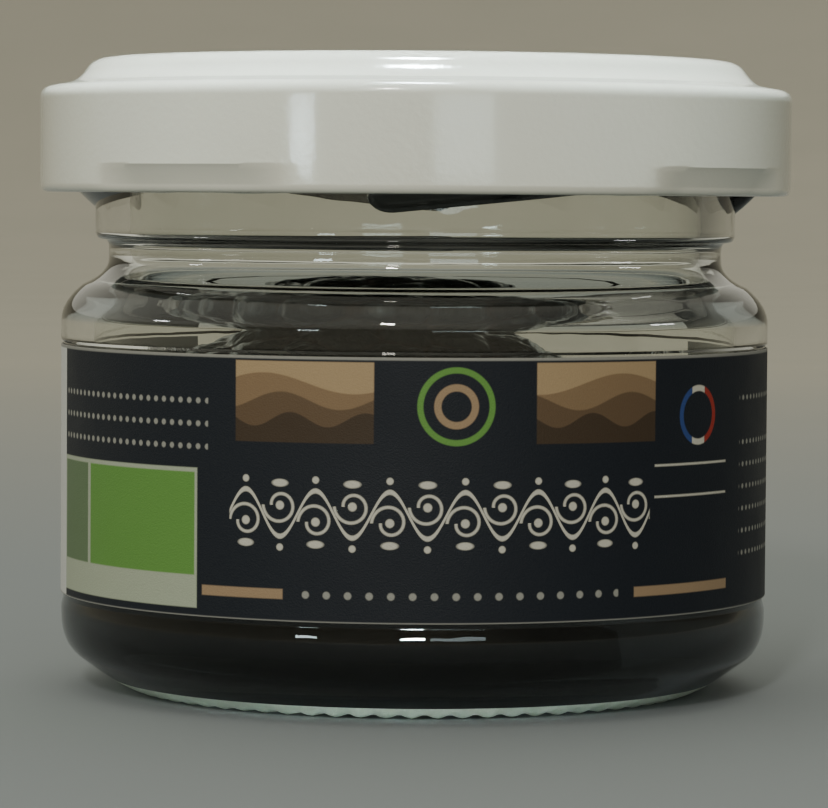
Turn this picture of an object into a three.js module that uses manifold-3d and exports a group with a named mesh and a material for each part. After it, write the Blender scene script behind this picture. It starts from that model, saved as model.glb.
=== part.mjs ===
// A small glass jar of preserved black truffle: a squat jar with four glass threads, a twist-off
// tinplate lid with its sealing ring, a paper label round the wall, dark juice, and one whole
// truffle that stands on the jar's floor and rises a little above the juice.
// Millimetres, +Z up. The origin is the centre of the foot; the front of the jar faces -Y.
import * as THREE from "three";
import { ConvexHull } from "three/addons/math/ConvexHull.js";
import { mergeVertices } from "three/addons/utils/BufferGeometryUtils.js";
import Module from "manifold-3d";

const wasm = await Module();
wasm.setup();

// Driving dimensions
const FACETS = 40; // sides of every turned piece, so that nested walls stay parallel
const CURVE_STEPS = 3; // straight steps in each rounded stretch of an outline
const JAR_HEIGHT = 45.45;
const LIP_BEND = 44.25; // where the lip's rounding starts
const WALL_RADIUS = 26.1; // outside of the straight wall that the label is stuck to
const WALL_INSIDE = 23.9;
const SHOULDER_RADIUS = 26.3;
const NECK_RADIUS = 22.8;
const FINISH_RADIUS = 23.8; // outside of the lip that carries the threads
const NECK_INSIDE = 21.2;
const FOOT_INNER = 19.2; // the flat ring that the jar stands on
const FOOT_OUTER = 20.6;
const FLOOR_CENTRE = 3.4; // top of the glass floor on the axis, above the foot

const THREAD_COUNT = 4;
const THREAD_CREST = 25.4;
const THREAD_START = -8.4; // degrees to the right of the front, where a thread's low end is
const THREAD_LENGTH = 100; // degrees
const THREAD_LOW = 35.25; // underside of a thread at its low end, at the wall
const THREAD_MIDDLE = 1.2; // height of its ends' tips above its underside
const LEAD = 0.0411; // rise of a thread, per degree
const ROOT_SINK = 0.6; // how far a thread or lug runs into what carries it

const LID_RADIUS = 27.9;
const LID_HEIGHT = 9.9;
const LID_BASE = 36.75; // lower edge of the lid when closed, above the foot
const TIN = 0.2; // thickness of the sheet, with its lacquer
const CURL = 1.3; // diameter of the rolled lower edge
const LUG_PHASE = -36; // degrees to the right of the front
const LUG_HALF_WIDTH = 8; // degrees
const LUG_REACH = 24.5; // radius of a lug's tip
const LUG_THICKNESS = 0.6;
const LUG_LOW = 0.9; // underside of a lug's middle, above the lid's lower edge
const DENT_DEPTH = 0.8; // how far the skirt is pressed in over a lug
const DENT_HALF_WIDTH = 19; // degrees
const DENT_HEIGHT = 2.0;
const DENT_SLOPE = 1.0; // height over which a dent reaches its depth

const LABEL_LOW = 7.2;
const LABEL_HIGH = 25.55;
const LABEL_THICKNESS = 0.15;
const LABEL_GAP = 0.05; // glue line
const LABEL_FROM = -135; // degrees to the right of the front
const LABEL_TO = 117;

const JUICE_LEVEL = 22.5;
const CLEARANCE = 0.1; // between pieces that touch in the real jar
const HOLLOW_CLEARANCE = 0.35; // round the truffle, where the juice follows it

const TRUFFLE_RADII = [17.2, 15.4, 11.7];
const TRUFFLE_CENTRE = [-3.4, 1.5, 14.9];
const TRUFFLE_FULLNESS = 3.2; // 2 makes an ellipsoid, and more fills out its top and bottom
const TRUFFLE_FLOOR = 3.5; // height of the small flat spot that it rests on
const WART_COUNT = 210;
const WART_HEIGHT = 0.75;
const WART_INSET = 0.52; // size of a wart's top against its foot
const SEED = 20;

// Helpers for turned, bent and joined solids

// A closed geometry as a manifold solid, with its shared vertices merged.
function solidOf(geometry) {
  const bare = geometry.index ? geometry.toNonIndexed() : geometry.clone();
  bare.deleteAttribute("normal");
  bare.deleteAttribute("uv");
  const merged = mergeVertices(bare, 1e-4);
  const index = merged.index.array;
  const kept = [];
  for (let i = 0; i < index.length; i += 3) {
    const [a, b, c] = index.subarray(i, i + 3);
    if (a !== b && b !== c && c !== a) kept.push(a, b, c);
  }
  return new wasm.Manifold(
    new wasm.Mesh({
      numProp: 3,
      vertProperties: merged.attributes.position.array,
      triVerts: new Uint32Array(kept),
    }),
  );
}

// A manifold solid as a geometry.
function geometryOf(solid) {
  const mesh = solid.getMesh();
  const geometry = new THREE.BufferGeometry();
  const points = new Float32Array(mesh.numVert * 3);
  for (let i = 0; i < mesh.numVert; i++) {
    const from = i * mesh.numProp;
    points.set(mesh.vertProperties.subarray(from, from + 3), i * 3);
  }
  geometry.setAttribute("position", new THREE.BufferAttribute(points, 3));
  geometry.setIndex(new THREE.BufferAttribute(mesh.triVerts, 1));
  return geometry;
}

// An outline of radius and height, turned about +Z. It runs from the foot up the outside.
function turned(outline) {
  return new THREE.LatheGeometry(outline, FACETS).rotateX(Math.PI / 2);
}

// A point at an angle to the right of the front, as a radius and a height.
function placed(degrees, radius, height) {
  const angle = THREE.MathUtils.degToRad(degrees);
  return [radius * Math.sin(angle), -radius * Math.cos(angle), height];
}

// A bar with a section of radius and height, bent round the axis from one angle to another
// while it climbs by the given rise per degree.
function bentBar(section, from, to, steps, climb) {
  const shape = new THREE.Shape(section);
  const bar = new THREE.ExtrudeGeometry(shape, { depth: 1, steps, bevelEnabled: false });
  const position = bar.attributes.position;
  for (let i = 0; i < position.count; i++) {
    const degrees = to + (from - to) * position.getZ(i);
    const height = position.getY(i) + climb * (degrees - from);
    position.setXYZ(i, ...placed(degrees, position.getX(i), height));
  }
  return bar;
}

// The same outline moved sideways by a distance, to the right of its direction of travel.
function offset(points, distance) {
  return points.map((point, i) => {
    const before = points[Math.max(i - 1, 0)];
    const after = points[Math.min(i + 1, points.length - 1)];
    const along = after.clone().sub(before).normalize();
    const moved = new THREE.Vector2(point.x + along.y * distance, point.y - along.x * distance);
    if (point.x === 0) moved.x = 0;
    return moved;
  });
}

// Straight and rounded stretches: each step is [x, y] for a line, or [cx, cy, x, y] for a curve
// that leaves towards (cx, cy) and arrives from it.
function outlineOf(start, steps) {
  const path = new THREE.Path().moveTo(...start);
  for (const step of steps) {
    if (step.length === 2) path.lineTo(...step);
    else path.quadraticCurveTo(...step);
  }
  return path.getPoints(CURVE_STEPS);
}

function named(name, geometry, color, roughness, metalness) {
  const material = new THREE.MeshStandardMaterial({ color, roughness, metalness });
  const mesh = new THREE.Mesh(geometry, material);
  mesh.name = name;
  return mesh;
}

// Jar: pressed clear glass with a thick floor, a rounded heel and shoulder, and a stepped neck

const jarInside = [
  [18.2, 3.0],
  [23.9, 3.0, WALL_INSIDE, 8.4],
  [WALL_INSIDE, 27.3],
  [WALL_INSIDE, 29.4, 22.85, 29.4],
  [NECK_INSIDE, 30.4, NECK_INSIDE, 32.45],
  [NECK_INSIDE, LIP_BEND],
];

function jarOutline() {
  const outside = outlineOf([0, 1.3], [
    [16.8, 1.1],
    [18.3, 1.0, FOOT_INNER, 0],
    [FOOT_OUTER, 0],
    [21.6, 0.1, 23.6, 1.5],
    [25.0, 2.5],
    [26.2, 3.4, 26.25, 5.4],
    [26.25, 6.2],
    [WALL_RADIUS, 6.8],
    [WALL_RADIUS, 25.7],
    [SHOULDER_RADIUS, 25.9],
    [SHOULDER_RADIUS, 27.4],
    [26.25, 28.7, 24.7, 29.95],
    [NECK_RADIUS, 30.75, NECK_RADIUS, 31.9],
    [NECK_RADIUS, 32.6],
    [NECK_RADIUS, 33.3, 23.3, 33.3],
    [FINISH_RADIUS, 33.3, FINISH_RADIUS, 34.0],
    [FINISH_RADIUS, LIP_BEND],
    [FINISH_RADIUS, JAR_HEIGHT, 22.7, JAR_HEIGHT],
    [22.3, JAR_HEIGHT],
    [NECK_INSIDE, JAR_HEIGHT, NECK_INSIDE, LIP_BEND],
  ]);
  const inside = outlineOf([0, FLOOR_CENTRE], jarInside);
  return [...outside, ...inside.reverse().slice(1)];
}

// One glass thread: a ridge with a sloped underside that climbs to the right, with its ends run
// into the wall.
function threadBar(start) {
  const root = FINISH_RADIUS - ROOT_SINK;
  const section = [
    [root, -0.35],
    [THREAD_CREST - 1, 0.5],
    [THREAD_CREST - 0.2, 1.25],
    [THREAD_CREST, 1.65],
    [THREAD_CREST - 0.3, 2.1],
    [THREAD_CREST - 0.9, 2.3],
    [root, 2.35],
  ].map(([radius, height]) => new THREE.Vector2(radius, height + THREAD_LOW));
  const bar = bentBar(section, start, start + THREAD_LENGTH, 14, LEAD);
  const position = bar.attributes.position;
  const taper = 5; // degrees over which an end is rounded down into the wall
  for (let i = 0; i < position.count; i++) {
    const [x, y, z] = [position.getX(i), position.getY(i), position.getZ(i)];
    const radius = Math.hypot(x, y);
    const degrees = THREE.MathUtils.radToDeg(Math.atan2(x, -y));
    const along = THREE.MathUtils.euclideanModulo(degrees - start + taper, 360) - taper;
    const inward = THREE.MathUtils.clamp(Math.min(along, THREAD_LENGTH - along) / taper, 0, 1);
    const share = Math.max(Math.sqrt(inward * (2 - inward)), 0.25);
    const pulled = root + (radius - root) * share;
    const middle = THREAD_LOW + THREAD_MIDDLE + LEAD * along;
    position.setXYZ(i, (x * pulled) / radius, (y * pulled) / radius, middle + (z - middle) * share);
  }
  return bar;
}

function makeJar() {
  let solid = solidOf(turned(jarOutline()));
  for (let i = 0; i < THREAD_COUNT; i++) {
    const start = THREAD_START + (360 / THREAD_COUNT) * i;
    solid = solid.add(solidOf(threadBar(start)));
  }
  return named("jar", geometryOf(solid), 0xdfe3dc, 0.05, 0);
}

// Lid: a stamped twist-off cap with a rolled lower edge and four lugs that hook under the threads

function lidOutline() {
  const top = outlineOf([LID_RADIUS, 1.6], [
    [LID_RADIUS, DENT_HEIGHT],
    [LID_RADIUS, 6.9],
    [LID_RADIUS, 7.8, 26.9, 7.85],
    [25.6, 8.1],
    [25.0, 8.3, 24.4, 9.2],
    [23.9, LID_HEIGHT, 22.9, LID_HEIGHT],
    [21.5, LID_HEIGHT],
    [20.8, 9.85, 20.3, 9.3],
    [19.8, 9.2],
    [10.6, 9.2],
    [9.7, 9.0],
    [0, 8.8],
  ]);
  const under = offset(top, -TIN).reverse();
  const inner = LID_RADIUS - CURL;
  const curl = outlineOf([LID_RADIUS - TIN, 1.6], [
    [inner + 0.25, 1.3],
    [inner, 0.95],
    [inner, 0, inner + CURL / 2, 0],
    [LID_RADIUS, 0, LID_RADIUS, 0.65],
  ]);
  return [...under.slice(0, -1), ...curl, ...top];
}

// The skirt's lower part is pressed in over each lug.
function pressDents(geometry) {
  const position = geometry.attributes.position;
  for (let i = 0; i < position.count; i++) {
    const [x, y, z] = [position.getX(i), position.getY(i), position.getZ(i)];
    const radius = Math.hypot(x, y);
    if (radius < LUG_REACH || z > DENT_HEIGHT) continue;
    const degrees = THREE.MathUtils.radToDeg(Math.atan2(x, -y));
    const pitch = 360 / THREAD_COUNT;
    const away = THREE.MathUtils.euclideanModulo(degrees - LUG_PHASE + pitch / 2, pitch) - pitch / 2;
    const across = THREE.MathUtils.smoothstep(DENT_HALF_WIDTH - Math.abs(away), 0, DENT_HALF_WIDTH / 2);
    const upward = Math.min((DENT_HEIGHT - z) / DENT_SLOPE, 1);
    const pressed = radius - DENT_DEPTH * across * upward;
    position.setXYZ(i, (x * pressed) / radius, (y * pressed) / radius, z);
  }
  return geometry;
}

function makeLid() {
  let solid = solidOf(pressDents(turned(lidOutline())));
  const root = LID_RADIUS - CURL + ROOT_SINK;
  const section = [
    [LUG_REACH, LUG_LOW + 0.15],
    [LUG_REACH + 0.3, LUG_LOW],
    [root - DENT_DEPTH, LUG_LOW],
    [root - DENT_DEPTH, LUG_LOW + LUG_THICKNESS],
    [LUG_REACH + 0.3, LUG_LOW + LUG_THICKNESS],
    [LUG_REACH, LUG_LOW + LUG_THICKNESS - 0.15],
  ].map(([radius, height]) => new THREE.Vector2(radius, height - LEAD * LUG_HALF_WIDTH));
  for (let i = 0; i < THREAD_COUNT; i++) {
    const middle = LUG_PHASE + (360 / THREAD_COUNT) * i;
    const lug = bentBar(section, middle - LUG_HALF_WIDTH, middle + LUG_HALF_WIDTH, 4, LEAD);
    solid = solid.add(solidOf(lug));
  }
  const lid = named("lid", geometryOf(solid), 0xe9e8e0, 0.2, 0.1);
  lid.position.z = LID_BASE;
  return lid;
}

// Sealing ring: soft compound poured into the raised channel of the lid, pressed by the jar's lip
function makeSeal() {
  const outline = outlineOf([20.95, 8.8], [
    [23.9, 8.8],
    [23.95, 8.95],
    [23.2, 9.5, 22.7, 9.58],
    [21.7, 9.58],
    [20.95, 9.1],
    [20.95, 8.8],
  ]);
  const seal = named("seal", turned(outline), 0xe4dfd2, 0.6, 0);
  seal.position.z = LID_BASE;
  return seal;
}

// Label: one paper strip stuck to the straight wall, with its two ends apart at the back
function makeLabel() {
  const pitch = 360 / FACETS;
  const inner = WALL_RADIUS + LABEL_GAP;
  const outer = inner + LABEL_THICKNESS;
  const there = [];
  const back = [];
  for (let degrees = LABEL_FROM; degrees <= LABEL_TO; degrees += pitch) {
    const [x, y] = placed(degrees, 1, 0);
    there.push(new THREE.Vector2(x * outer, y * outer));
    back.unshift(new THREE.Vector2(x * inner, y * inner));
  }
  const shape = new THREE.Shape([...there, ...back]);
  const depth = LABEL_HIGH - LABEL_LOW;
  const strip = new THREE.ExtrudeGeometry(shape, { depth, steps: 1, bevelEnabled: false });
  const label = named("label", strip, 0x1b2029, 0.5, 0);
  label.position.z = LABEL_LOW;
  return label;
}

// Truffle: one lumpy fruit body, covered with low, many-sided warts

// Repeatable random numbers from 0 to 1.
function randomFrom(seed) {
  let state = seed;
  return () => {
    state = (state * 16807) % 2147483647;
    return state / 2147483647;
  };
}

// The body without warts, in a direction, standing out by a height along that direction.
function bodyPoint(direction, height) {
  const { x, y, z } = direction;
  const lumps =
    1 +
    0.045 * Math.sin(2.7 * x + 1.3) * Math.cos(3.1 * y - 0.4) +
    0.04 * Math.sin(4.3 * y + 2.1 * z + 0.7) +
    0.03 * Math.cos(5.2 * x - 2.6 * z + 2.2);
  const level = Math.hypot(x, y) ** TRUFFLE_FULLNESS + Math.abs(z) ** TRUFFLE_FULLNESS;
  const reach = lumps * level ** (-1 / TRUFFLE_FULLNESS);
  const [a, b, c] = TRUFFLE_RADII;
  const point = new THREE.Vector3(x * a, y * b, z * c).multiplyScalar(reach);
  return point.addScaledVector(direction, height).add(new THREE.Vector3(...TRUFFLE_CENTRE));
}

// Directions spread evenly over a sphere by the golden angle, then nudged at random.
function wartDirections() {
  const random = randomFrom(SEED);
  const golden = Math.PI * (3 - Math.sqrt(5));
  const nudge = 1.1 / Math.sqrt(WART_COUNT);
  return Array.from({ length: WART_COUNT }, (_, i) => {
    const z = 1 - (2 * i + 1) / WART_COUNT;
    const ring = Math.sqrt(1 - z * z);
    const point = new THREE.Vector3(ring * Math.cos(golden * i), ring * Math.sin(golden * i), z);
    point.x += nudge * (random() * 2 - 1);
    point.y += nudge * (random() * 2 - 1);
    point.z += nudge * (random() * 2 - 1);
    return point.normalize();
  });
}

// Each wart's outline is the cell of directions nearest to it. The corners of the cells are the
// outward normals of the faces of the convex hull of all the directions.
function wartCells(directions) {
  const hull = new ConvexHull().setFromPoints(directions);
  const corners = new Map(directions.map((direction) => [direction, []]));
  for (const face of hull.faces) {
    const normal = face.normal.clone().normalize();
    let edge = face.edge;
    do {
      corners.get(edge.head().point).push(normal);
      edge = edge.next;
    } while (edge !== face.edge);
  }
  return directions.map((middle) => {
    const east = new THREE.Vector3(0.3, -0.5, 0.8).cross(middle).normalize();
    const north = middle.clone().cross(east);
    const around = corners.get(middle);
    around.sort((p, q) => Math.atan2(p.dot(north), p.dot(east)) - Math.atan2(q.dot(north), q.dot(east)));
    return { middle, around };
  });
}

function makeTruffle() {
  const triangles = [];
  const rested = (direction, height) => {
    const point = bodyPoint(direction, height);
    point.z = Math.max(point.z, TRUFFLE_FLOOR);
    return point.toArray();
  };
  for (const { middle, around } of wartCells(wartDirections())) {
    const foot = around.map((corner) => rested(corner, 0));
    const top = around.map((corner) => {
      const direction = middle.clone().lerp(corner, WART_INSET).normalize();
      return rested(direction, WART_HEIGHT * 0.8);
    });
    const peak = rested(middle, WART_HEIGHT);
    around.forEach((_, i) => {
      const j = (i + 1) % around.length;
      triangles.push(...foot[i], ...foot[j], ...top[j]);
      triangles.push(...foot[i], ...top[j], ...top[i]);
      triangles.push(...top[i], ...top[j], ...peak);
    });
  }
  const geometry = new THREE.BufferGeometry();
  geometry.setAttribute("position", new THREE.Float32BufferAttribute(triangles, 3));
  return named("truffle", geometry, 0x17130f, 0.6, 0);
}

// Juice: fills the jar up to its level, with a smooth hollow where the truffle stands in it
function makeJuice() {
  const inside = outlineOf([0, FLOOR_CENTRE], jarInside);
  const wet = offset(inside, -CLEARANCE).filter((point) => point.y < JUICE_LEVEL);
  const wall = WALL_INSIDE - CLEARANCE;
  const outline = [...wet, new THREE.Vector2(wall, JUICE_LEVEL), new THREE.Vector2(0, JUICE_LEVEL)];
  const hollow = new THREE.IcosahedronGeometry(1, 6);
  const position = hollow.attributes.position;
  for (let i = 0; i < position.count; i++) {
    const direction = new THREE.Vector3().fromBufferAttribute(position, i).normalize();
    const point = bodyPoint(direction, WART_HEIGHT + HOLLOW_CLEARANCE);
    point.z = Math.max(point.z, FLOOR_CENTRE - 1);
    position.setXYZ(i, ...point.toArray());
  }
  const solid = solidOf(turned(outline)).subtract(solidOf(hollow));
  return named("juice", geometryOf(solid), 0x120c08, 0.05, 0);
}

const group = new THREE.Group();
group.add(makeJar(), makeLabel(), makeJuice(), makeTruffle(), makeLid(), makeSeal());

export default group;
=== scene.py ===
# A small glass jar of preserved black truffle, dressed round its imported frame.
# Sizes are in millimetres until a piece is finished, and angles are degrees to the right of the
# front of the label, which faces -Y.
import math

import bmesh
import bpy
from mathutils import Matrix, Vector, kdtree, noise


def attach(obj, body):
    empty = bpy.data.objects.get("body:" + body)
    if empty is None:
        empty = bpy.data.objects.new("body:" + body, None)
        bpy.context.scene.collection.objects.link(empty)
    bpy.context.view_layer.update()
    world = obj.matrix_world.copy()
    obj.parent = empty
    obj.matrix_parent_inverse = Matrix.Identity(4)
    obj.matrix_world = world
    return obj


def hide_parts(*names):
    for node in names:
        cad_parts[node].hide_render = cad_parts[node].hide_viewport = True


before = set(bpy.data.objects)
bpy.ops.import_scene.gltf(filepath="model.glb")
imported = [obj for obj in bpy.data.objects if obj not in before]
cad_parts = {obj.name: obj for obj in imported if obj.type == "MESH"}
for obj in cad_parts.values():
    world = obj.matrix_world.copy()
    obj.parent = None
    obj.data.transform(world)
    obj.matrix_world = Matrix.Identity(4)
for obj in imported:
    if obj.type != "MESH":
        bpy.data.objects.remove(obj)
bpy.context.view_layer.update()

# Shapes and finishes that all sections below share
MM = 0.001
SHORT_LINE = 0.8  # a profile's line up to this length gets no points of its own
END_POINT = 0.12  # distance from a line's end to the point that holds its shading


def outline(start, steps, bends=9, longest=6.0):
    """Points of a profile of radius and height. A step is (x, y) for a line, or (cx, cy, x, y)
    for a bend that leaves towards (cx, cy). Lines get a point close to each end, so that a
    bend's shading stays in the bend."""
    points = [Vector((start[0], 0, start[1]))]
    for step in steps:
        begin, end = points[-1], Vector((step[-2], 0, step[-1]))
        if len(step) == 4:
            pull = Vector((step[0], 0, step[1]))
            shares = [i / bends for i in range(1, bends + 1)]
            points += [begin.lerp(pull, t).lerp(pull.lerp(end, t), t) for t in shares]
            continue
        length = (end - begin).length
        if length > SHORT_LINE:
            parts = max(1, math.ceil(length / longest))
            close = END_POINT / length
            shares = [close] + [i / parts for i in range(1, parts)] + [1 - close, 1]
        else:
            shares = [1]
        points += [begin.lerp(end, t) for t in shares]
    return points


def turned(points, steps, closed=False):
    """A mesh of a profile spun once round the axis."""
    bm = bmesh.new()
    verts = [bm.verts.new(point) for point in points]
    edges = [bm.edges.new(pair) for pair in zip(verts, verts[1:])]
    if closed:
        edges.append(bm.edges.new((verts[-1], verts[0])))
    bmesh.ops.spin(bm, geom=verts + edges, cent=(0, 0, 0), axis=(0, 0, 1), dvec=(0, 0, 0),
                   angle=math.tau, steps=steps, use_merge=True)
    bmesh.ops.remove_doubles(bm, verts=bm.verts, dist=1e-4)
    bmesh.ops.recalc_face_normals(bm, faces=bm.faces)
    return bm


def bent_bar(section, begin, degrees, steps, climb):
    """A closed bar: a section of radius and height, spun from an angle while it climbs."""
    bm = bmesh.new()
    start = bm.faces.new([bm.verts.new((x, 0, z)) for x, z in section])
    bmesh.ops.rotate(bm, verts=bm.verts, cent=(0, 0, 0),
                     matrix=Matrix.Rotation(math.radians(begin - 90), 3, "Z"))
    rise = climb * degrees / steps
    bmesh.ops.spin(bm, geom=[start, *start.verts, *start.edges], cent=(0, 0, 0), axis=(0, 0, 1),
                   dvec=(0, 0, rise), angle=math.radians(degrees), steps=steps)
    bmesh.ops.recalc_face_normals(bm, faces=bm.faces)
    return bm


def azimuth(point):
    """Degrees to the right of the front."""
    return math.degrees(math.atan2(point.x, -point.y))


def piece(name, bm, crease=35):
    """A finished object in metres, smooth but for its edges sharper than a crease."""
    bmesh.ops.scale(bm, vec=(MM, MM, MM), verts=bm.verts)
    mesh = bpy.data.meshes.new(name)
    bm.to_mesh(mesh)
    bm.free()
    mesh.shade_smooth()
    mesh.set_sharp_from_angle(angle=math.radians(crease))
    made = bpy.data.objects.new(name, mesh)
    bpy.context.scene.collection.objects.link(made)
    return made


def join(body, parts, crease=35):
    """The parts are melted into the body, and their own objects go. Normals follow the larger
    faces, so that the body's own surface stays even beside a part."""
    for part in parts:
        union = body.modifiers.new("join", "BOOLEAN")
        union.operation = "UNION"
        union.solver = "MANIFOLD"
        union.object = part
    settled = body.evaluated_get(bpy.context.evaluated_depsgraph_get())
    mesh = bpy.data.meshes.new_from_object(settled)
    body.modifiers.clear()
    body.data = mesh
    mesh.shade_smooth()
    mesh.set_sharp_from_angle(angle=math.radians(crease))
    body.modifiers.new("even", "WEIGHTED_NORMAL").keep_sharp = True
    for part in parts:
        bpy.data.objects.remove(part)


def node(tree, kind, inputs=None, **settings):
    """A shader node with its settings and inputs, each a value or another node's output."""
    made = tree.nodes.new(kind)
    for key, value in settings.items():
        setattr(made, key, value)
    for key, value in (inputs or {}).items():
        if isinstance(value, bpy.types.NodeSocket):
            tree.links.new(value, made.inputs[key])
        else:
            made.inputs[key].default_value = value
    return made


def maths(tree, operation, first, second=0.0, third=0.0):
    """One operation on up to three numbers or outputs."""
    values = {0: first, 1: second, 2: third}
    return node(tree, "ShaderNodeMath", values, operation=operation).outputs[0]


def blended(tree, mask, under, over):
    """One colour over another by a mask."""
    mix = node(tree, "ShaderNodeMix", {0: mask, 6: under, 7: over}, data_type="RGBA")
    return mix.outputs[2]


def stretched(tree, value, from_low, from_high, to_low, to_high):
    """A value moved from one range to another, and held at its ends."""
    ends = {"From Min": from_low, "From Max": from_high, "To Min": to_low, "To Max": to_high}
    return node(tree, "ShaderNodeMapRange", {"Value": value, **ends}).outputs[0]


def grain_group():
    """Fine unevenness that every finish here has in its own measure: a broad mottle and a grain
    across it, both in millimetres of the object."""
    tree = bpy.data.node_groups.new("uneven_surface", "ShaderNodeTree")
    for name in ("Broad Size", "Grain Size"):
        tree.interface.new_socket(name, in_out="INPUT", socket_type="NodeSocketFloat")
    for name in ("Mottle", "Grain"):
        tree.interface.new_socket(name, in_out="OUTPUT", socket_type="NodeSocketFloat")
    given = tree.nodes.new("NodeGroupInput").outputs
    place = tree.nodes.new("ShaderNodeTexCoord").outputs["Object"]
    made = []
    for size, detail in ((given["Broad Size"], 3.0), (given["Grain Size"], 2.0)):
        scale = maths(tree, "DIVIDE", 1 / MM, size)
        cloud = node(tree, "ShaderNodeTexNoise", {"Vector": place, "Scale": scale, "Detail": detail})
        made.append(stretched(tree, cloud.outputs[0], 0.3, 0.7, 0.0, 1.0))
    out = tree.nodes.new("NodeGroupOutput")
    tree.links.new(made[0], out.inputs["Mottle"])
    tree.links.new(made[1], out.inputs["Grain"])
    return tree


uneven_surface = grain_group()


def finish(name):
    """A new material, its node tree and its Principled shader."""
    made = bpy.data.materials.new(name)
    made.use_nodes = True
    return made, made.node_tree, made.node_tree.nodes["Principled BSDF"]


def uneven(tree, broad, grain):
    """The mottle and the grain of a finish, of two sizes in millimetres."""
    made = node(tree, "ShaderNodeGroup", node_tree=uneven_surface)
    made.inputs["Broad Size"].default_value = broad
    made.inputs["Grain Size"].default_value = grain
    return made.outputs["Mottle"], made.outputs["Grain"]


def set_bump(tree, shader, height, depth):
    """Relief of a depth in millimetres."""
    bump = node(tree, "ShaderNodeBump", {"Height": height, "Distance": depth * MM})
    tree.links.new(bump.outputs[0], shader.inputs["Normal"])


# Glass jar
# One piece of pressed clear glass, a little green in its thickness: a thick floor on a stippled
# foot ring, a rounded heel and shoulder, a stepped neck, and a lip with four screw threads.
WALL_RADIUS = 26.1
WALL_INSIDE = 23.9
NECK_RADIUS = 22.8
NECK_INSIDE = 21.2
LIP_RADIUS = 23.8
LIP_BEND = 44.25  # where the lip's rounding starts
JAR_HEIGHT = 45.45
FOOT_INNER = 19.2
FOOT_OUTER = 20.6
FLOOR_CENTRE = 3.4
STIPPLES = 72
STIPPLE_DEPTH = 0.28
STIPPLE_TOP = 0.75
FROST_TOP = 1.05  # the glass is frosted below this
THREADS = 4
THREAD_START = -8.4
THREAD_LENGTH = 100
THREAD_LOW = 35.25
THREAD_CREST = 25.4
THREAD_TAPER = 5
THREAD_MIDDLE = 1.2  # height of its ends' tips above its underside
ROOT_SINK = 0.6
LEAD = 0.0411  # rise of a thread, per degree

jar_outside = [
    (16.8, 1.1),
    (18.3, 1.0, FOOT_INNER, 0),
    (FOOT_OUTER, 0),
    (21.6, 0.1, 23.6, 1.5),
    (25.0, 2.5),
    (26.2, 3.4, 26.25, 5.4),
    (26.25, 6.2),
    (WALL_RADIUS, 6.8),
    (WALL_RADIUS, 25.7),
    (26.3, 25.9),
    (26.3, 27.4),
    (26.25, 28.7, 24.7, 29.95),
    (NECK_RADIUS, 30.75, NECK_RADIUS, 31.9),
    (NECK_RADIUS, 32.6),
    (NECK_RADIUS, 33.3, 23.3, 33.3),
    (LIP_RADIUS, 33.3, LIP_RADIUS, 34.0),
    (LIP_RADIUS, LIP_BEND),
    (LIP_RADIUS, JAR_HEIGHT, 22.7, JAR_HEIGHT),
    (22.3, JAR_HEIGHT),
    (NECK_INSIDE, JAR_HEIGHT, NECK_INSIDE, LIP_BEND),
]
jar_inside = [
    (18.2, 3.0),
    (WALL_INSIDE, 3.0, WALL_INSIDE, 8.4),
    (WALL_INSIDE, 27.3),
    (WALL_INSIDE, 29.4, 22.85, 29.4),
    (NECK_INSIDE, 30.4, NECK_INSIDE, 32.45),
    (NECK_INSIDE, LIP_BEND),
]


def stipple_foot(bm):
    """The ring that the jar stands on is knurled: a row of small crescents that touch down."""
    for vert in bm.verts:
        radius = math.hypot(vert.co.x, vert.co.y)
        if FOOT_INNER - 0.3 < radius < FOOT_OUTER + 1.6 and vert.co.z < STIPPLE_TOP:
            bow = 8 * (radius - FOOT_OUTER) / FOOT_OUTER  # leans each crescent
            phase = math.radians(azimuth(vert.co)) * STIPPLES + bow
            vert.co.z += STIPPLE_DEPTH * (1 - abs(math.cos(phase / 2)) ** 1.5)


def thread_bar(begin):
    """A thread from an angle, with its ends rounded down into the wall."""
    root = LIP_RADIUS - ROOT_SINK
    crest = THREAD_CREST
    section = [(root, -0.35), (crest - 1.6, 0), (crest - 1, 0.5), (crest - 0.6, 0.87), (crest - 0.2, 1.27)]
    section += [(crest - 0.06, 1.45), (crest, 1.65), (crest - 0.06, 1.87), (crest - 0.25, 2.07)]
    section += [(crest - 0.55, 2.22), (crest - 0.9, 2.3), (root, 2.35)]
    raised = [(radius, height + THREAD_LOW) for radius, height in section]
    bm = bent_bar(raised, begin, THREAD_LENGTH, 120, LEAD)
    for vert in bm.verts:
        radius = math.hypot(vert.co.x, vert.co.y)
        passed = (azimuth(vert.co) - begin + THREAD_TAPER) % 360 - THREAD_TAPER
        inward = min(max(min(passed, THREAD_LENGTH - passed) / THREAD_TAPER, 0), 1)
        share = max(math.sqrt(inward * (2 - inward)), 0.1)
        pulled = (root + (radius - root) * share) / radius
        vert.co.x *= pulled
        vert.co.y *= pulled
        middle = THREAD_LOW + THREAD_MIDDLE + LEAD * passed
        vert.co.z = middle + (vert.co.z - middle) * share
    return bm


jar_points = outline((0, 1.3), jar_outside) + outline((0, FLOOR_CENTRE), jar_inside)[::-1][1:]
jar_mesh = turned(jar_points, STIPPLES * 5)
stipple_foot(jar_mesh)
glass_jar = piece("glass_jar", jar_mesh)
ribs = [piece("rib", thread_bar(THREAD_START + 360 / THREADS * i)) for i in range(THREADS)]
join(glass_jar, ribs)

GLASS_DEEP = (0.93, 0.955, 0.925, 1)
GLASS_CLEAR = (0.96, 0.97, 0.945, 1)
GLASS_IOR = 1.52
FROST_DEEP = (0.78, 0.88, 0.72, 1)
FROST_PALE = (0.88, 0.97, 0.82, 1)

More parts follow.
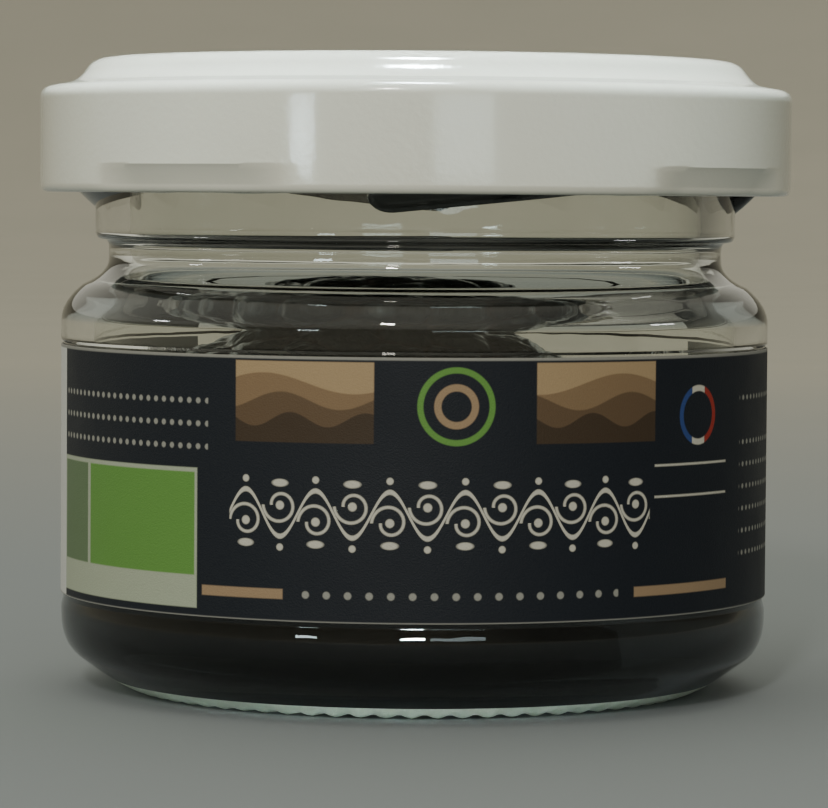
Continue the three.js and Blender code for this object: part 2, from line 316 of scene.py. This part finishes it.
jar_glass, tree, shader = finish("jar_glass")
shader.inputs["Transmission Weight"].default_value = 1.0
shader.inputs["IOR"].default_value = GLASS_IOR
mottle, grain = uneven(tree, 14.0, 1.2)
tree.links.new(blended(tree, mottle, GLASS_DEEP, GLASS_CLEAR), shader.inputs["Base Color"])
shader.inputs["Roughness"].default_value = 0.0
set_bump(tree, shader, mottle, 0.02)
glass_jar.data.materials.clear()
glass_jar.data.materials.append(jar_glass)

frosted_foot, tree, shader = finish("frosted_foot")
shader.inputs["Transmission Weight"].default_value = 0.1
shader.inputs["IOR"].default_value = GLASS_IOR
mottle, grain = uneven(tree, 1.6, 0.3)
tree.links.new(blended(tree, mottle, FROST_DEEP, FROST_PALE), shader.inputs["Base Color"])
shader.inputs["Roughness"].default_value = 0.4
set_bump(tree, shader, grain, 0.05)
glass_jar.data.materials.append(frosted_foot)
for face in glass_jar.data.polygons:
    centre = face.center / MM
    if centre.z < FROST_TOP and math.hypot(centre.x, centre.y) > FOOT_INNER - 0.6:
        face.material_index = 1
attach(glass_jar, "jar")
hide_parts("jar")

# Black truffle
# One whole fruit body, near black, its skin broken into low many-sided warts with ribbed flanks
# and narrow brown furrows between them. It is wet, and stands on the jar's floor on a flat spot.
TRUFFLE_RADII = (17.2, 15.4, 11.7)
TRUFFLE_CENTRE = Vector((-3.4, 1.5, 14.9))
TRUFFLE_FULLNESS = 3.2
TRUFFLE_FLOOR = 3.5
WART_COUNT = 210
WART_HEIGHT = 0.75
FLUTES = 9  # ribs round a wart
FLUTE_DEPTH = 0.28  # share of a wart's height
SKIN_RELIEF = 0.14  # height of the fine relief all over the skin
SEED = 20


def repeatable(seed):
    """Random numbers from 0 to 1 that are the same on each run."""
    state = seed
    while True:
        state = state * 16807 % 2147483647
        yield state / 2147483647


def body_point(direction, height):
    """The body without warts, in a direction, standing out by a height."""
    x, y, z = direction
    lumps = (
        1
        + 0.045 * math.sin(2.7 * x + 1.3) * math.cos(3.1 * y - 0.4)
        + 0.04 * math.sin(4.3 * y + 2.1 * z + 0.7)
        + 0.03 * math.cos(5.2 * x - 2.6 * z + 2.2)
    )
    level = math.hypot(x, y) ** TRUFFLE_FULLNESS + abs(z) ** TRUFFLE_FULLNESS
    reach = lumps * level ** (-1 / TRUFFLE_FULLNESS)
    a, b, c = TRUFFLE_RADII
    return Vector((x * a, y * b, z * c)) * reach + direction * height + TRUFFLE_CENTRE


def wart_middles():
    """Directions spread by the golden angle, then nudged at random."""
    draw = repeatable(SEED)
    golden = math.pi * (3 - math.sqrt(5))
    nudge = 1.1 / math.sqrt(WART_COUNT)
    middles = []
    for i in range(WART_COUNT):
        z = 1 - (2 * i + 1) / WART_COUNT
        ring = math.sqrt(1 - z * z)
        nudged = [nudge * (next(draw) * 2 - 1) for _ in range(3)]
        middles.append((Vector((ring * math.cos(golden * i), ring * math.sin(golden * i), z))
                        + Vector(nudged)).normalized())
    return middles


def wart_relief(direction, middles, lookup, heights):
    """The share of a wart's height in a direction, from 0 in a furrow to about 1 at its peak."""
    (_, first, near), (_, _, far) = lookup.find_n(direction, 2)
    inward = (far - near) / (far + near)
    middle = middles[first]
    east = Vector((0.3, -0.5, 0.8)).cross(middle).normalized()
    bearing = math.atan2(direction.dot(middle.cross(east)), direction.dot(east))
    flutes = math.sin(bearing * FLUTES + first) * inward * (1 - inward) * FLUTE_DEPTH
    slope = 1 - (1 - min(inward * 1.15, 1)) ** 2.4
    return slope * heights[first] + flutes


truffle_mesh = bmesh.new()
bmesh.ops.create_icosphere(truffle_mesh, subdivisions=7, radius=1)
relief = truffle_mesh.verts.layers.float.new("relief")
middles = wart_middles()
near_wart = kdtree.KDTree(WART_COUNT)
for index, middle in enumerate(middles):
    near_wart.insert(middle, index)
near_wart.balance()
draw = repeatable(SEED + 1)
wart_heights = [0.78 + 0.3 * next(draw) for _ in middles]
for vert in truffle_mesh.verts:
    direction = vert.co.normalized()
    share = wart_relief(direction, middles, near_wart, wart_heights)
    rough = noise.fractal(direction * 17, 0.7, 2.1, 4) * SKIN_RELIEF
    vert[relief] = share + rough
    vert.co = body_point(direction, WART_HEIGHT * share + rough)
    vert.co.z = max(vert.co.z, TRUFFLE_FLOOR)
truffle = piece("truffle_body", truffle_mesh, crease=80)

SKIN_BLACK = (0.008, 0.0075, 0.008, 1)
SKIN_BROWN = (0.02, 0.017, 0.015, 1)
SKIN_DUST = (0.045, 0.036, 0.03, 1)
FURROW_BROWN = (0.035, 0.017, 0.01, 1)
WET_TINT = (0.75, 0.92, 1.0, 1)

truffle_skin, tree, shader = finish("truffle_skin")
mottle, grain = uneven(tree, 5.0, 0.5)
risen = node(tree, "ShaderNodeAttribute", attribute_name="relief").outputs["Fac"]
tops = blended(tree, mottle, SKIN_BLACK, SKIN_BROWN)
dusted = blended(tree, maths(tree, "MULTIPLY", grain, 0.35), tops, SKIN_DUST)
furrow = stretched(tree, risen, 0.05, 0.3, 1.0, 0.0)
tree.links.new(blended(tree, furrow, dusted, FURROW_BROWN), shader.inputs["Base Color"])
tree.links.new(stretched(tree, grain, 0.0, 1.0, 0.28, 0.5), shader.inputs["Roughness"])
shader.inputs["Coat Weight"].default_value = 0.6
shader.inputs["Coat Tint"].default_value = WET_TINT
shader.inputs["Specular Tint"].default_value = WET_TINT
shader.inputs["Coat Roughness"].default_value = 0.12
set_bump(tree, shader, grain, 0.05)
truffle.data.materials.append(truffle_skin)
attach(truffle, "jar")
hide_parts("truffle")

# Juice
# The dark water that the truffle was cooked in. It wets the glass and the truffle, and climbs a
# little at both, so its mesh reaches a hair into the glass and has no gap at the skin.
JUICE_LEVEL = 22.5
WETTING = 0.05  # how far it reaches into the glass
CLIMB = 0.7  # height of the rim where it meets glass or skin
CLIMB_WIDTH = 0.9
SURFACE_STEP = 0.25


def juice_points():
    """The inside of the jar up to the level, then in to the axis across the surface."""
    full = outline((0, FLOOR_CENTRE - WETTING), jar_inside)
    wet = [point for point in full if point.z < JUICE_LEVEL]
    for point in wet:
        if point.x > 20:
            point.x += WETTING
        if point.z < 4:
            point.z -= WETTING
    edge = WALL_INSIDE + WETTING
    steps = range(int(edge / SURFACE_STEP))
    surface = [Vector((edge - SURFACE_STEP * i, 0, JUICE_LEVEL)) for i in steps]
    return wet + surface + [Vector((0, 0, JUICE_LEVEL))]


juice_mesh = turned(juice_points(), 160)
wet_skin = kdtree.KDTree(len(truffle.data.vertices))
for vert in truffle.data.vertices:
    wet_skin.insert(vert.co / MM, vert.index)
wet_skin.balance()
for vert in juice_mesh.verts:
    if vert.co.z > JUICE_LEVEL - 0.01:
        to_glass = WALL_INSIDE - math.hypot(vert.co.x, vert.co.y)
        to_skin = wet_skin.find(vert.co)[2]
        nearest = max(min(to_glass, to_skin), 0)
        vert.co.z += CLIMB * math.exp(-nearest / CLIMB_WIDTH)
juice = piece("truffle_juice", juice_mesh)

JUICE_DARK = (0.018, 0.023, 0.029, 1)
JUICE_THIN = (0.024, 0.029, 0.036, 1)

dark_juice, tree, shader = finish("dark_juice")
shader.inputs["Transmission Weight"].default_value = 1.0
shader.inputs["IOR"].default_value = 1.34
mottle, grain = uneven(tree, 9.0, 1.0)
tree.links.new(blended(tree, mottle, JUICE_DARK, JUICE_THIN), shader.inputs["Base Color"])
shader.inputs["Roughness"].default_value = 0.0
juice.data.materials.append(dark_juice)
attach(juice, "jar")
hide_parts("juice")

# Paper label
# One strip of coated paper, printed dark blue, stuck round the straight wall. Its paper back shows
# through the glass, coloured a dark blue-grey as painted shade. The print is an ornament of its own:
# two pictures of hills with a roundel between them, a scroll, a badge, a ring of three colours, bars and
# rows of dots.
LABEL_LOW = 7.2
LABEL_HIGH = 25.55
LABEL_HEIGHT = LABEL_HIGH - LABEL_LOW
LABEL_FROM = -135
LABEL_TO = 117
LABEL_MIDDLE = (LABEL_FROM + LABEL_TO) / 2
LABEL_INNER = WALL_RADIUS + 0.05
LABEL_THICKNESS = 0.14
LABEL_CORNER = 0.03
PRINT_RADIUS = LABEL_INNER + LABEL_THICKNESS
DARK_FROM = -75  # left of this the print is left white
BLEED = 1  # how far a mask runs past the label's edge
INK_EDGE = 0.05  # half the width of a mask's soft edge


def along(degrees):
    """Length on the label from the middle of its front."""
    return math.radians(degrees) * PRINT_RADIUS


def label_section():
    """An upright strip of radius and height, with its printed side's corners taken off."""
    bevel = PRINT_RADIUS - LABEL_CORNER
    section = [(LABEL_INNER, LABEL_LOW), (bevel, LABEL_LOW), (PRINT_RADIUS, LABEL_LOW + LABEL_CORNER)]
    section += [(PRINT_RADIUS, LABEL_HIGH - LABEL_CORNER), (bevel, LABEL_HIGH), (LABEL_INNER, LABEL_HIGH)]
    return section


label_mesh = bent_bar(label_section(), LABEL_FROM, LABEL_TO - LABEL_FROM, 174, 0)
map_layer = label_mesh.loops.layers.uv.new("print_mm")
for face in label_mesh.faces:
    for loop in face.loops:
        degrees = (azimuth(loop.vert.co) - LABEL_MIDDLE + 180) % 360 - 180 + LABEL_MIDDLE
        loop[map_layer].uv = (along(degrees), loop.vert.co.z - LABEL_LOW)
label = piece("paper_label", label_mesh)

INK_NAVY = (0.007, 0.0105, 0.018, 1)
INK_CREAM = (0.62, 0.6, 0.52, 1)
INK_TAN = (0.36, 0.25, 0.15, 1)
INK_GREEN = (0.13, 0.31, 0.06, 1)
INK_GREY = (0.33, 0.33, 0.3, 1)
INK_BLUE = (0.03, 0.07, 0.25, 1)
INK_RED = (0.35, 0.03, 0.02, 1)
BADGE_GROUND = (0.42, 0.47, 0.36, 1)
BADGE_DARK = (0.13, 0.2, 0.1, 1)
PAPER_WHITE = (0.66, 0.67, 0.65, 1)
PAPER_EDGE = (0.3, 0.3, 0.28, 1)
# The back of the paper is painted this dark blue-grey as painted shade, not as its own colour.
PAPER_BACK_PAINTED_SHADE = (0.2, 0.23, 0.25, 1)
SCUFF = (0.1, 0.1, 0.1, 1)

label_print, tree, shader = finish("label_print")
spot = node(tree, "ShaderNodeUVMap", uv_map="print_mm").outputs[0]
split = node(tree, "ShaderNodeSeparateXYZ", {0: spot})
across, up = split.outputs[0], split.outputs[1]


def inside(distance):
    """A soft-edged mask from a signed distance that is below 0 inside."""
    return stretched(tree, distance, -INK_EDGE, INK_EDGE, 1.0, 0.0)


def block(left, right, low, high):
    """A mask of a rectangle of the label."""
    off_x = maths(tree, "ABSOLUTE", maths(tree, "SUBTRACT", across, (left + right) / 2))
    off_y = maths(tree, "ABSOLUTE", maths(tree, "SUBTRACT", up, (low + high) / 2))
    out_x = maths(tree, "SUBTRACT", off_x, (right - left) / 2)
    out_y = maths(tree, "SUBTRACT", off_y, (high - low) / 2)
    return inside(maths(tree, "MAXIMUM", out_x, out_y))


def patch(left, right, low, high):
    """The same between two angles."""
    return block(along(left), along(right), low, high)


def round_off(x, y, middle_x, middle_y):
    """Distance from a point of the label."""
    off_x = maths(tree, "SUBTRACT", x, middle_x)
    off_y = maths(tree, "SUBTRACT", y, middle_y)
    square_x = maths(tree, "MULTIPLY", off_x, off_x)
    square_y = maths(tree, "MULTIPLY", off_y, off_y)
    return maths(tree, "SQRT", maths(tree, "ADD", square_x, square_y))


def disc(distance, radius):
    return inside(maths(tree, "SUBTRACT", distance, radius))


def ring(distance, radius, width):
    return disc(maths(tree, "ABSOLUTE", maths(tree, "SUBTRACT", distance, radius)), width / 2)


def both(first, second):
    return maths(tree, "MULTIPLY", first, second)


def either(*masks):
    joined = masks[0]
    for mask in masks[1:]:
        joined = maths(tree, "MAXIMUM", joined, mask)
    return joined


def wave(length, height, middle, phase):
    """The height of a wave that runs along the label."""
    angle = maths(tree, "MULTIPLY_ADD", across, math.tau / length, phase)
    return maths(tree, "MULTIPLY_ADD", maths(tree, "SINE", angle), height, middle)


def hills():
    """A sepia view of three ranges of hills, each darker than the one behind it."""
    colour = (0.42, 0.3, 0.17, 1)
    far = (13.0, 0.7, 16.5, (0.25, 0.165, 0.09, 1))
    between = (8.5, 0.6, 15.3, (0.13, 0.082, 0.045, 1))
    near = (5.4, 0.5, 14.0, (0.055, 0.035, 0.02, 1))
    for length, height, middle, tone in (far, between, near):
        crest = wave(length, height, middle, phase=length)
        colour = blended(tree, inside(maths(tree, "SUBTRACT", up, crest)), colour, tone)
    return colour


def scroll():
    """A thin stem that waves along the label, with a curl and a small leaf in each of its bays,
    and a dot outside each bend."""
    bays, length, height, middle = 12, 5.2, 1.6, 7.5
    start = along(5) - length * bays / 4
    stem = wave(length, height, middle, phase=-math.tau * start / length)
    stem_off = maths(tree, "ABSOLUTE", maths(tree, "SUBTRACT", up, stem))
    drawn = disc(stem_off, 0.17)
    for side, share in ((-1, 0.25), (1, 0.75)):
        shifted = maths(tree, "SUBTRACT", across, start + length * share)
        bay = maths(tree, "WRAP", shifted, length / 2, -length / 2)
        eye = middle + side * 0.55
        away = round_off(bay, up, 0.0, eye)
        angle = maths(tree, "ARCTAN2", maths(tree, "SUBTRACT", up, eye), bay)
        curl = ring(maths(tree, "MULTIPLY_ADD", angle, side * 0.1, away), 0.95, 0.2)
        leaf = disc(round_off(maths(tree, "MULTIPLY", bay, 0.45), up, 0.0, middle + side * 2.1), 0.26)
        dot = disc(round_off(bay, up, 0.0, middle - side * 2.35), 0.24)
        drawn = either(drawn, curl, disc(away, 0.3), leaf, dot)
    return both(drawn, block(start, start + length * bays / 2, middle - 3.8, middle + 4.2))


def dots(height, gap, radius, left, right):
    """A mask of a row of dots between two angles."""
    at = maths(tree, "WRAP", across, gap / 2, -gap / 2)
    row = disc(round_off(at, up, 0.0, height), radius)
    return both(row, patch(left, right, height - gap, height + gap))


def dot_rows():
    """A row of beads below the scroll, and fine rows at the upper left and far right."""
    beads = dots(1.9, 1.5, 0.26, -17, 33)
    at_left = [dots(height, 0.8, 0.2, -74, -33) for height in (15.1, 13.5, 11.9)]
    at_right = [dots(height, 0.8, 0.18, 63, 100) for height in (15.1, 11.9, 10.3, 8.7, 7.1, 5.5, 3.9)]
    return either(beads, *at_left, *at_right)


def print_layers():
    """Masks and inks of the print, from the lowest layer to the top one."""
    roundel = round_off(across, up, along(6.4), 15.0)
    yield patch(-28, 40, 12.4, 18.0), hills()
    yield patch(-6, 18.8, 12.3, 18.1), INK_NAVY
    yield ring(roundel, 2.5, 0.42), INK_GREEN
    yield ring(roundel, 1.3, 0.5), INK_TAN
    yield scroll(), INK_CREAM
    yield patch(-75, -35, 0.6, 10.4), BADGE_GROUND
    yield patch(-62, -35.5, 2.9, 10.1), INK_GREEN
    yield patch(-74.5, -63, 2.9, 10.1), BADGE_DARK
    yield either(patch(-34, -20, 1.55, 2.25), patch(36, 58.5, 1.55, 2.25)), INK_TAN
    yield dot_rows(), INK_GREY
    three_colours = ring(round_off(across, up, along(50), 14.1), 1.9, 0.42)
    for left, right, tone in ((43, 48.4, INK_BLUE), (48.4, 51.6, INK_CREAM), (51.6, 57, INK_RED)):
        yield both(three_colours, patch(left, right, 11.5, 17.0)), tone
    yield either(patch(40, 58, 10.6, 10.75), patch(40, 58, 8.4, 8.55)), INK_CREAM
    end = along(LABEL_FROM) - BLEED
    yield block(end, along(DARK_FROM), -BLEED, LABEL_HEIGHT + BLEED), PAPER_WHITE
    upper_edge = block(end, -end, LABEL_HEIGHT - 0.2, LABEL_HEIGHT + BLEED)
    yield either(upper_edge, block(end, -end, -BLEED, 0.09)), PAPER_EDGE


coloured = INK_NAVY
for mask, ink in print_layers():
    coloured = blended(tree, mask, coloured, ink)
outward = node(tree, "ShaderNodeNewGeometry").outputs["True Normal"]
place = node(tree, "ShaderNodeTexCoord").outputs["Object"]
facing = node(tree, "ShaderNodeVectorMath", {0: outward, 1: place}, operation="DOT_PRODUCT")
back = maths(tree, "LESS_THAN", facing.outputs["Value"], 0.0)
# The back-facing side gets the dark blue-grey of painted shade in place of the paper's own white.
coloured = blended(tree, back, coloured, PAPER_BACK_PAINTED_SHADE)
mottle, grain = uneven(tree, 6.0, 0.12)
worn = blended(tree, maths(tree, "MULTIPLY", grain, 0.05), coloured, SCUFF)
tree.links.new(worn, shader.inputs["Base Color"])
tree.links.new(stretched(tree, mottle, 0.0, 1.0, 0.5, 0.62), shader.inputs["Roughness"])
shader.inputs["Specular IOR Level"].default_value = 0.3
set_bump(tree, shader, grain, 0.012)
label.data.materials.append(label_print)
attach(label, "jar")
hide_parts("label")

# Sealing ring
# Soft cream compound, poured into the lid's raised channel and pressed by the jar's lip.
LID_BASE = 36.75
seal_mesh = turned(outline((20.95, 8.8), [
    (23.9, 8.8),
    (23.95, 8.95),
    (23.2, 9.5, 22.7, 9.58),
    (21.7, 9.58),
    (20.95, 9.1),
    (20.95, 8.85),
]), 160, closed=True)
bmesh.ops.translate(seal_mesh, verts=seal_mesh.verts, vec=(0, 0, LID_BASE))
seal = piece("sealing_ring", seal_mesh)

COMPOUND_DEEP = (0.7, 0.66, 0.56, 1)
COMPOUND_PALE = (0.78, 0.75, 0.67, 1)

compound, tree, shader = finish("sealing_compound")
mottle, grain = uneven(tree, 4.0, 0.3)
tree.links.new(blended(tree, mottle, COMPOUND_DEEP, COMPOUND_PALE), shader.inputs["Base Color"])
tree.links.new(stretched(tree, grain, 0.0, 1.0, 0.5, 0.7), shader.inputs["Roughness"])
set_bump(tree, shader, grain, 0.02)
seal.data.materials.append(compound)
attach(seal, "seal")
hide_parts("seal")

# Twist-off lid
# Tinplate 0.2 mm thick, stamped with a raised ring and a shallow panel, white enamel outside.
# The lower edge is rolled in, four lugs hook under the threads, and the skirt is pressed in over
# each of them. The inside has a grey lacquer, coloured near black as painted shade.
LID_RADIUS = 27.9
LID_HEIGHT = 9.9
TIN = 0.2
CURL = 1.3
CURL_INSIDE = LID_RADIUS - CURL
SKIRT_START = 1.6  # height where the skirt's sheet leaves the curl
LUG_PHASE = -36
LUG_HALF_WIDTH = 8
LUG_REACH = 24.5
LUG_THICKNESS = 0.6
LUG_LOW = 0.9
DENT_DEPTH = 0.8
DENT_HALF_WIDTH = 19
DENT_HEIGHT = 2.0
DENT_SLOPE = 1.0  # height over which a dent reaches its depth


def sheet_offset(points, distance):
    """The same profile moved to the left of its direction of travel."""
    moved = []
    for i, point in enumerate(points):
        ahead = points[min(i + 1, len(points) - 1)] - points[max(i - 1, 0)]
        ahead.normalize()
        shifted = point + Vector((-ahead.z, 0, ahead.x)) * distance
        if point.x == 0:
            shifted.x = 0
        moved.append(shifted)
    return moved


def smooth_step(value, low, high):
    """Rises from 0 to 1 between two values, level at both."""
    share = min(max((value - low) / (high - low), 0), 1)
    return share * share * (3 - 2 * share)


lid_top = outline((LID_RADIUS, SKIRT_START), [
    (LID_RADIUS, DENT_HEIGHT),
    (LID_RADIUS, 6.9),
    (LID_RADIUS, 7.8, 26.9, 7.85),
    (25.6, 8.1),
    (25.0, 8.3, 24.4, 9.2),
    (23.9, LID_HEIGHT, 22.9, LID_HEIGHT),
    (21.5, LID_HEIGHT),
    (20.8, 9.85, 20.3, 9.3),
    (19.8, 9.2),
    (10.6, 9.2),
    (9.7, 9.0),
    (0, 8.8),
], longest=0.6)
lid_curl = outline((LID_RADIUS - TIN, SKIRT_START), [
    (CURL_INSIDE + 0.25, CURL),
    (CURL_INSIDE, 1.25, CURL_INSIDE, CURL / 2),
    (CURL_INSIDE, 0, CURL_INSIDE + CURL / 2, 0),
    (LID_RADIUS, 0, LID_RADIUS, CURL / 2),
])


def press_dents(bm):
    """The skirt's lower part is pressed in over each lug."""
    pitch = 360 / THREADS
    for vert in bm.verts:
        radius = math.hypot(vert.co.x, vert.co.y)
        if radius > LUG_REACH and vert.co.z < DENT_HEIGHT:
            away = (azimuth(vert.co) - LUG_PHASE + pitch / 2) % pitch - pitch / 2
            pressed = smooth_step(DENT_HALF_WIDTH - abs(away), 0, DENT_HALF_WIDTH / 2)
            pressed *= min((DENT_HEIGHT - vert.co.z) / DENT_SLOPE, 1) * DENT_DEPTH
            vert.co.x *= 1 - pressed / radius
            vert.co.y *= 1 - pressed / radius


lid_mesh = turned(sheet_offset(lid_top, TIN)[::-1] + lid_curl[1:] + lid_top, 288)
press_dents(lid_mesh)
bmesh.ops.translate(lid_mesh, verts=lid_mesh.verts, vec=(0, 0, LID_BASE))
lid = piece("twist_lid", lid_mesh)


def lug_bar(middle):
    """A lug with a blunt tip, sloped as the threads are."""
    root = CURL_INSIDE + ROOT_SINK - DENT_DEPTH
    tip, low, high = LUG_REACH, LUG_LOW, LUG_LOW + LUG_THICKNESS
    section = [(tip, low + 0.2), (tip + 0.08, low + 0.06), (tip + 0.3, low), (root, low)]
    section += [(root, high), (tip + 0.3, high), (tip + 0.08, high - 0.06), (tip, high - 0.2)]
    shift = LID_BASE - LEAD * LUG_HALF_WIDTH
    raised = [(radius, height + shift) for radius, height in section]
    return bent_bar(raised, middle - LUG_HALF_WIDTH, 2 * LUG_HALF_WIDTH, 16, LEAD)


lugs = [piece("lug", lug_bar(LUG_PHASE + 360 / THREADS * i)) for i in range(THREADS)]
join(lid, lugs)

ENAMEL_DEEP = (0.8, 0.795, 0.7, 1)
ENAMEL_PALE = (0.83, 0.825, 0.73, 1)
# These near-black colours are painted shade of the lid's inside, laid over its grey lacquer.
LACQUER_PAINTED_SHADE_DEEP = (0.05, 0.052, 0.05, 1)
LACQUER_PAINTED_SHADE_PALE = (0.07, 0.072, 0.068, 1)

enamel, tree, shader = finish("white_enamel")
mottle, grain = uneven(tree, 12.0, 0.5)
tree.links.new(blended(tree, mottle, ENAMEL_DEEP, ENAMEL_PALE), shader.inputs["Base Color"])
tree.links.new(stretched(tree, mottle, 0.0, 1.0, 0.08, 0.13), shader.inputs["Roughness"])
shader.inputs["Coat Weight"].default_value = 0.5
shader.inputs["Coat Roughness"].default_value = 0.08
set_bump(tree, shader, grain, 0.006)
lid.data.materials.clear()
lid.data.materials.append(enamel)

# Grey lacquer darkened to near black: painted shade inside the lid.
lacquer_and_painted_shade, tree, shader = finish("lacquer_with_painted_shade")
mottle, grain = uneven(tree, 10.0, 0.5)
tree.links.new(blended(tree, mottle, LACQUER_PAINTED_SHADE_DEEP, LACQUER_PAINTED_SHADE_PALE), shader.inputs["Base Color"])
shader.inputs["Roughness"].default_value = 0.3
lid.data.materials.append(lacquer_and_painted_shade)
for face in lid.data.polygons:
    centre, normal = face.center / MM, face.normal
    radius = math.hypot(centre.x, centre.y)
    inward = centre.x * normal.x + centre.y * normal.y < -0.2 * radius
    downward = normal.z < -0.3 and radius < CURL_INSIDE
    if centre.z > LID_BASE + CURL and (inward or downward):
        face.material_index = 1
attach(lid, "lid")
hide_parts("lid")

# Floor
# A plain studio floor, grey near the jar and pale beyond, that curves up into the wall all round.
# The wall has painted shade at the right.
FLOOR_RADIUS = 1100
WALL_REACH = 2100
WALL_HEIGHT = 330
GREY_WITHIN = 100
PALE_BEYOND = 600
SHADE_FROM = 300  # distance to the right
SHADE_TO = 1300
SHADE = 0.8
FLOOR_GREY = (0.28, 0.315, 0.34, 1)
WALL_DEEP = (0.455, 0.44, 0.385, 1)
WALL_PALE = (0.475, 0.455, 0.4, 1)
WALL_SHADED = (0.08, 0.08, 0.08, 1)

floor_outline = outline((0, 0), [
    (FLOOR_RADIUS, 0),
    (WALL_REACH, 0, WALL_REACH, WALL_HEIGHT),
], bends=24, longest=120)
floor_mesh = turned(floor_outline, 96)
for face in floor_mesh.faces:
    face.normal_flip()
floor = piece("studio_floor", floor_mesh, crease=80)

pale_floor, tree, shader = finish("pale_floor")
mottle, grain = uneven(tree, 60.0, 2.0)
place = node(tree, "ShaderNodeTexCoord").outputs["Object"]
away = node(tree, "ShaderNodeVectorMath", {0: place}, operation="LENGTH").outputs["Value"]
to_right = node(tree, "ShaderNodeSeparateXYZ", {0: place}).outputs[0]
wall = blended(tree, mottle, WALL_DEEP, WALL_PALE)
# Painted shade: the wall's colour darkens towards the right.
shade = stretched(tree, to_right, SHADE_FROM * MM, SHADE_TO * MM, 0.0, SHADE)
wall = blended(tree, shade, wall, WALL_SHADED)
far = stretched(tree, away, GREY_WITHIN * MM, PALE_BEYOND * MM, 0.0, 1.0)
tree.links.new(blended(tree, far, FLOOR_GREY, wall), shader.inputs["Base Color"])
shader.inputs["Roughness"].default_value = 0.9
floor.data.materials.append(pale_floor)

# Lights
# A cool soft box over the lid, a strip as low as the heel, a window at each side for the glass, a
# narrow and a broad strip that show in the lid's skirt, and a warm lamp above the camera.
COOL = (0.8, 0.97, 1.0)
WHITE = (1.0, 1.0, 1.0)
WARM = (1.0, 0.95, 0.87)
LID_MIDDLE = 42
SKIRT_TOP = 48
JAR_MIDDLE = 30


def soft_light(name, turn, height, reach, size, power, colour, aim_height, spread=180, only=None):
    """An area light at an angle to the right of the front, aimed at a height on the jar's axis.
    It lights everything, or only one object."""
    lamp = bpy.data.lights.new(name, "AREA")
    lamp.shape = "RECTANGLE"
    lamp.size, lamp.size_y = (length * MM for length in size)
    lamp.energy = power
    lamp.color = colour
    lamp.spread = math.radians(spread)
    made = bpy.data.objects.new(name, lamp)
    bpy.context.scene.collection.objects.link(made)
    angle = math.radians(turn)
    stand = Vector((reach * math.sin(angle), -reach * math.cos(angle), height)) * MM
    facing = Vector((0, 0, aim_height)) * MM - stand
    turned_to = facing.to_track_quat("-Z", "Y").to_matrix().to_4x4()
    made.matrix_world = Matrix.Translation(stand) @ turned_to
    made.visible_camera = False
    if only:
        lit = bpy.data.collections.new("lit_by_" + name)
        lit.objects.link(only)
        made.light_linking.receiver_collection = lit


soft_light("overhead_box", 0, 110, 8, (58, 58), 0.029, COOL, LID_MIDDLE, spread=14, only=lid)
soft_light("heel_strip", 0, 24, 210, (26, 6), 0.0019, COOL, 1, spread=9, only=glass_jar)
soft_light("left_window", -88, 150, 520, (60, 26), 0.1, WHITE, JAR_MIDDLE, only=glass_jar)
soft_light("right_window", 86, 150, 520, (100, 26), 0.16, WHITE, JAR_MIDDLE, only=glass_jar)
soft_light("left_strip", -33, 48, 500, (58, 14), 0.055, COOL, SKIRT_TOP)
soft_light("broad_strip", 14, 48, 500, (150, 24), 0.045, COOL, SKIRT_TOP)
soft_light("lamp", -8.6, 275, 560, (44, 60), 0.9, WARM, JAR_MIDDLE)

# World
# Warm even light from all round, that fades towards the right.
SKY_COLOUR = (0.595, 0.58, 0.485, 1)
SKY_BRIGHT = 1.27
SKY_DIM = 0.1
world = bpy.data.worlds.new("studio")
world.use_nodes = True
tree = world.node_tree
sky_direction = node(tree, "ShaderNodeTexCoord").outputs["Generated"]
to_right = node(tree, "ShaderNodeSeparateXYZ", {0: sky_direction}).outputs[0]
sky = tree.nodes["Background"]
sky.inputs[0].default_value = SKY_COLOUR
tree.links.new(stretched(tree, to_right, 0.35, 0.85, SKY_BRIGHT, SKY_DIM), sky.inputs[1])
bpy.context.scene.world = world

# Camera
# Level with the lid's lower edge, 315 mm from the jar's axis, tipped down and turned a little.
CAMERA_REACH = 315
CAMERA_HEIGHT = 36.5
CAMERA_TILT = 2.8
CAMERA_ROLL = 0.4
FOCAL_LENGTH = 183.4
lens = bpy.data.cameras.new("camera")
lens.lens = FOCAL_LENGTH
lens.sensor_width = 36
lens.clip_start = 0.01
camera = bpy.data.objects.new("camera", lens)
bpy.context.scene.collection.objects.link(camera)
camera.location = Vector((0, -CAMERA_REACH, CAMERA_HEIGHT)) * MM
tilt = Matrix.Rotation(math.radians(90 - CAMERA_TILT), 3, "X")
roll = Matrix.Rotation(math.radians(CAMERA_ROLL), 3, "Z")
camera.rotation_euler = (tilt @ roll).to_euler()
bpy.context.scene.camera = camera
